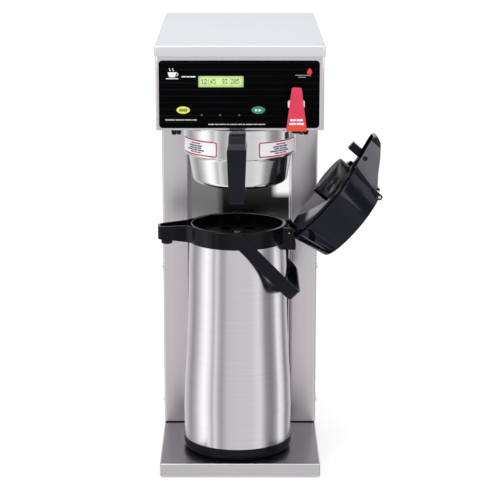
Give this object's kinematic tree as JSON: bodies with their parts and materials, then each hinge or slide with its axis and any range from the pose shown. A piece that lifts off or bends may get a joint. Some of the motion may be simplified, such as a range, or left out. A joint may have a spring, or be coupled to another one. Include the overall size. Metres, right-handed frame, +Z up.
{
  "type": "commercial coffee brewer",
  "caption": "Upright stainless airpot coffee brewer with control head, hot-water faucet, slide-in brew funnel and a lever airpot standing on its base.",
  "frame": {"origin": "centre of the brewer's footprint on the counter, below the base pan's rim", "axes": "+Z up, -Y out of the control front towards the user, +X to the user's right"},
  "size_m": [0.3191, 0.4639, 0.617],
  "materials": {
    "brushed_steel": "brushed",
    "dark_steel": "brushed, darker",
    "cover_steel": "satin",
    "polished_steel": "polished",
    "black_plastic": "moulded, satin",
    "grey_plastic": "moulded, satin",
    "gloss_black": "gloss film",
    "rubber": "matt",
    "clear_window": "clear",
    "lcd_green": "lit display",
    "circuit_board": "solder mask",
    "red_plastic": "satin",
    "ivory_plastic": "satin",
    "yellow_button": "satin",
    "green_button": "satin",
    "white_label": "printed film",
    "silicone_red": "matt",
    "brass": "machined",
    "copper": "drawn tube"
  },
  "bodies": {
    "brewer": {"base_pan": "dark_steel", "feet": "rubber", "column_front_panel": "brushed_steel", "side_panel_left": "brushed_steel", "side_panel_right": "brushed_steel", "back_panel": "brushed_steel", "frame_posts": "dark_steel", "head_bottom_panel": "brushed_steel", "head_front_frame": "brushed_steel", "control_overlay": "gloss_black", "lcd_window": "clear_window", "lcd_module": "lcd_green", "control_board": "circuit_board", "indicator_lights": "clear_window", "top_cover": "cover_steel", "panel_screws": "brushed_steel", "funnel_rails": "brushed_steel", "rail_stops": "black_plastic", "spray_head": "brushed_steel", "dispense_valve": "brass", "tank": "brushed_steel", "tank_gasket": "silicone_red", "tank_lid": "brushed_steel", "heating_element": "dark_steel", "temperature_probe": "dark_steel", "level_probe": "dark_steel", "limit_thermostat": "black_plastic", "inlet_valve": "ivory_plastic", "inlet_fitting": "brass", "water_tubes": "copper", "terminal_block": "ivory_plastic", "switch_body": "black_plastic", "cord_gland": "black_plastic", "faucet_body": "black_plastic", "faucet_bonnet": "ivory_plastic", "faucet_pin": "polished_steel"},
    "faucet_lever": {"faucet_lever": "red_plastic"},
    "faucet_stem": {"faucet_stem": "polished_steel"},
    "button_yellow": {"button_yellow": "yellow_button"},
    "button_green": {"button_green": "green_button"},
    "power_rocker": {"power_rocker": "red_plastic"},
    "funnel": {"brew_funnel": "brushed_steel", "funnel_handle": "black_plastic", "handle_screws": "polished_steel", "funnel_labels": "white_label", "wire_basket": "polished_steel"},
    "airpot": {"airpot_base_ring": "black_plastic", "airpot_body": "brushed_steel", "airpot_collar": "black_plastic", "vacuum_liner": "polished_steel", "neck_insert": "black_plastic", "siphon_tube": "polished_steel", "lid_hinge_pin": "polished_steel"},
    "bail": {"bail_handle": "black_plastic"},
    "lid": {"lid_shell": "black_plastic", "lid_inner_plate": "grey_plastic", "lid_gasket": "rubber", "pump_bellows": "grey_plastic", "lever_pin": "polished_steel"},
    "pump_lever": {"pump_lever": "polished_steel"}
  },
  "joints": [
    {"name": "airpot_slide", "type": "slide", "parent": "brewer", "child": "airpot", "axis": [0, -1, 0], "range_m": [0, 0.2]},
    {"name": "airpot_lid", "type": "hinge", "parent": "airpot", "child": "lid", "pos_m": [0.0695, -0.12, 0.3455], "axis": [0, -1, 0], "range_deg": [0, 16]},
    {"name": "bail", "type": "hinge", "parent": "airpot", "child": "bail", "pos_m": [-0.0035, -0.12, 0.346], "axis": [0, -1, 0], "range_deg": [0, 25]},
    {"name": "pump_lever", "type": "hinge", "parent": "lid", "child": "pump_lever", "pos_m": [0.19638, -0.12, 0.39619], "axis": [0, 1, 0], "range_deg": [0, 8], "stiffness_Nm_per_rad": 6},
    {"name": "funnel_slide", "type": "slide", "parent": "brewer", "child": "funnel", "axis": [0, -1, 0], "range_m": [0, 0.2]},
    {"name": "faucet_lever", "type": "hinge", "parent": "brewer", "child": "faucet_lever", "pos_m": [0.076, -0.222, 0.556], "axis": [-1, 0, 0], "range_deg": [0, 25], "stiffness_Nm_per_rad": 0.2},
    {"name": "faucet_stem", "type": "slide", "parent": "brewer", "child": "faucet_stem", "axis": [0, 0, 1], "range_m": [0, 0.003]},
    {"name": "button_yellow", "type": "slide", "parent": "brewer", "child": "button_yellow", "axis": [0, 1, 0], "range_m": [0, 0.0006], "stiffness_N_per_m": 800},
    {"name": "button_green", "type": "slide", "parent": "brewer", "child": "button_green", "axis": [0, 1, 0], "range_m": [0, 0.0006], "stiffness_N_per_m": 800},
    {"name": "power_rocker", "type": "hinge", "parent": "brewer", "child": "power_rocker", "pos_m": [0.012, 0.2015, 0.052], "axis": [-1, 0, 0], "range_deg": [0, 24]}
  ],
  "couplings": [
    {"joint": "faucet_stem", "follows": "faucet_lever", "m_per_rad": 0.0057}
  ]
}
